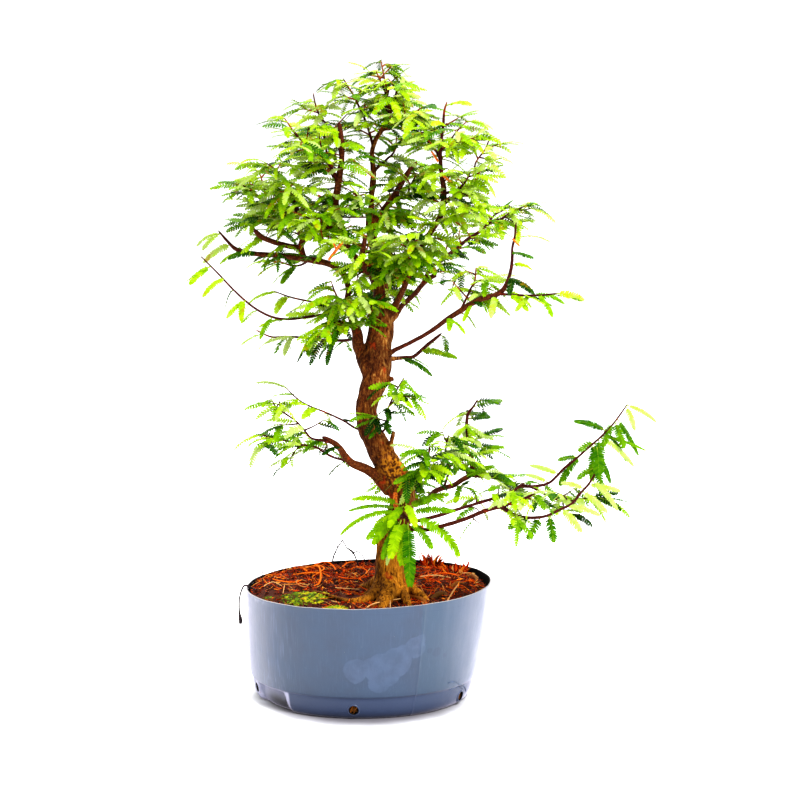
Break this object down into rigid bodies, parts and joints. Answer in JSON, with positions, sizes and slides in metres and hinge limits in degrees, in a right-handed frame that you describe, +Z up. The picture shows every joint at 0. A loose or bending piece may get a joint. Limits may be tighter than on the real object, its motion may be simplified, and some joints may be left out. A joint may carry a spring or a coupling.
{
  "type": "calliandra pre-bonsai in nursery pot",
  "caption": "Young calliandra tree with a curved trunk, pruned limbs and feathery leaves, growing in a round cut-down plastic nursery pot of soil.",
  "frame": {"origin": "middle of the pot's flat underside", "axes": "+Z up along the trunk, -Y towards the front, +X to the right, where the long low branches reach out"},
  "size_m": [0.414, 0.2367, 0.5702],
  "materials": {
    "pot_plastic": "blue-grey moulded nursery-pot plastic, scuffed and stained",
    "potting_soil": "loose dark potting soil under red-brown coir fibres",
    "moss": "soft yellow-green moss",
    "coir": "matted red-brown fibre",
    "dry_stalk": "thin grey dead stalk",
    "bark": "rough reddish-brown bark with orange and olive patches",
    "foliage": "thin bright green leaflets on maroon twigs"
  },
  "bodies": {
    "root": {"pot": "pot_plastic", "soil": "potting_soil", "trunk": "bark", "dry_stalk_back": "dry_stalk", "dry_stalk_left": "dry_stalk", "moss_front_left": "moss", "moss_front": "moss", "moss_left": "moss", "coir_tuft_back": "coir", "coir_tuft_right": "coir", "limb_left_low": "bark", "limb_left_upper": "bark", "limb_left_crown": "bark", "limb_upper_left": "bark", "limb_upper_right": "bark", "limb_right_crown": "bark", "limb_right_upper": "bark", "limb_right_mid": "bark", "limb_right_second": "bark", "limb_low_right_a": "bark", "limb_low_right_b": "bark", "limb_low_right_c": "bark", "limb_back_low": "bark", "limb_back_high": "bark", "limb_front_high": "bark", "shoot_left_far": "foliage", "shoot_left_mid": "foliage", "shoot_left_small": "foliage", "shoot_left_under": "foliage", "shoot_crown_left_a": "foliage", "shoot_crown_left_b": "foliage", "shoot_crown_left_c": "foliage", "shoot_top_left_a": "foliage", "shoot_top_left_b": "foliage", "shoot_top_left_c": "foliage", "shoot_top_mid_left": "foliage", "shoot_leader": "foliage", "shoot_leader_back": "foliage", "shoot_top_right_a": "foliage", "shoot_top_right_b": "foliage", "shoot_top_right_c": "foliage", "shoot_top_right_d": "foliage", "shoot_crown_right_a": "foliage", "shoot_crown_right_b": "foliage", "shoot_crown_right_c": "foliage", "shoot_crown_right_d": "foliage", "shoot_crown_mid": "foliage", "shoot_mid_front": "foliage", "shoot_right_fork": "foliage", "shoot_right_mid": "foliage", "shoot_right_dark": "foliage", "shoot_near_trunk": "foliage", "shoot_left_arc": "foliage", "shoot_low_left_a": "foliage", "shoot_low_left_b": "foliage", "shoot_low_right_a": "foliage", "shoot_low_right_b": "foliage", "shoot_low_right_d": "foliage", "shoot_right_trunk": "foliage", "shoot_basal": "foliage"}
  },
  "joints": []
}
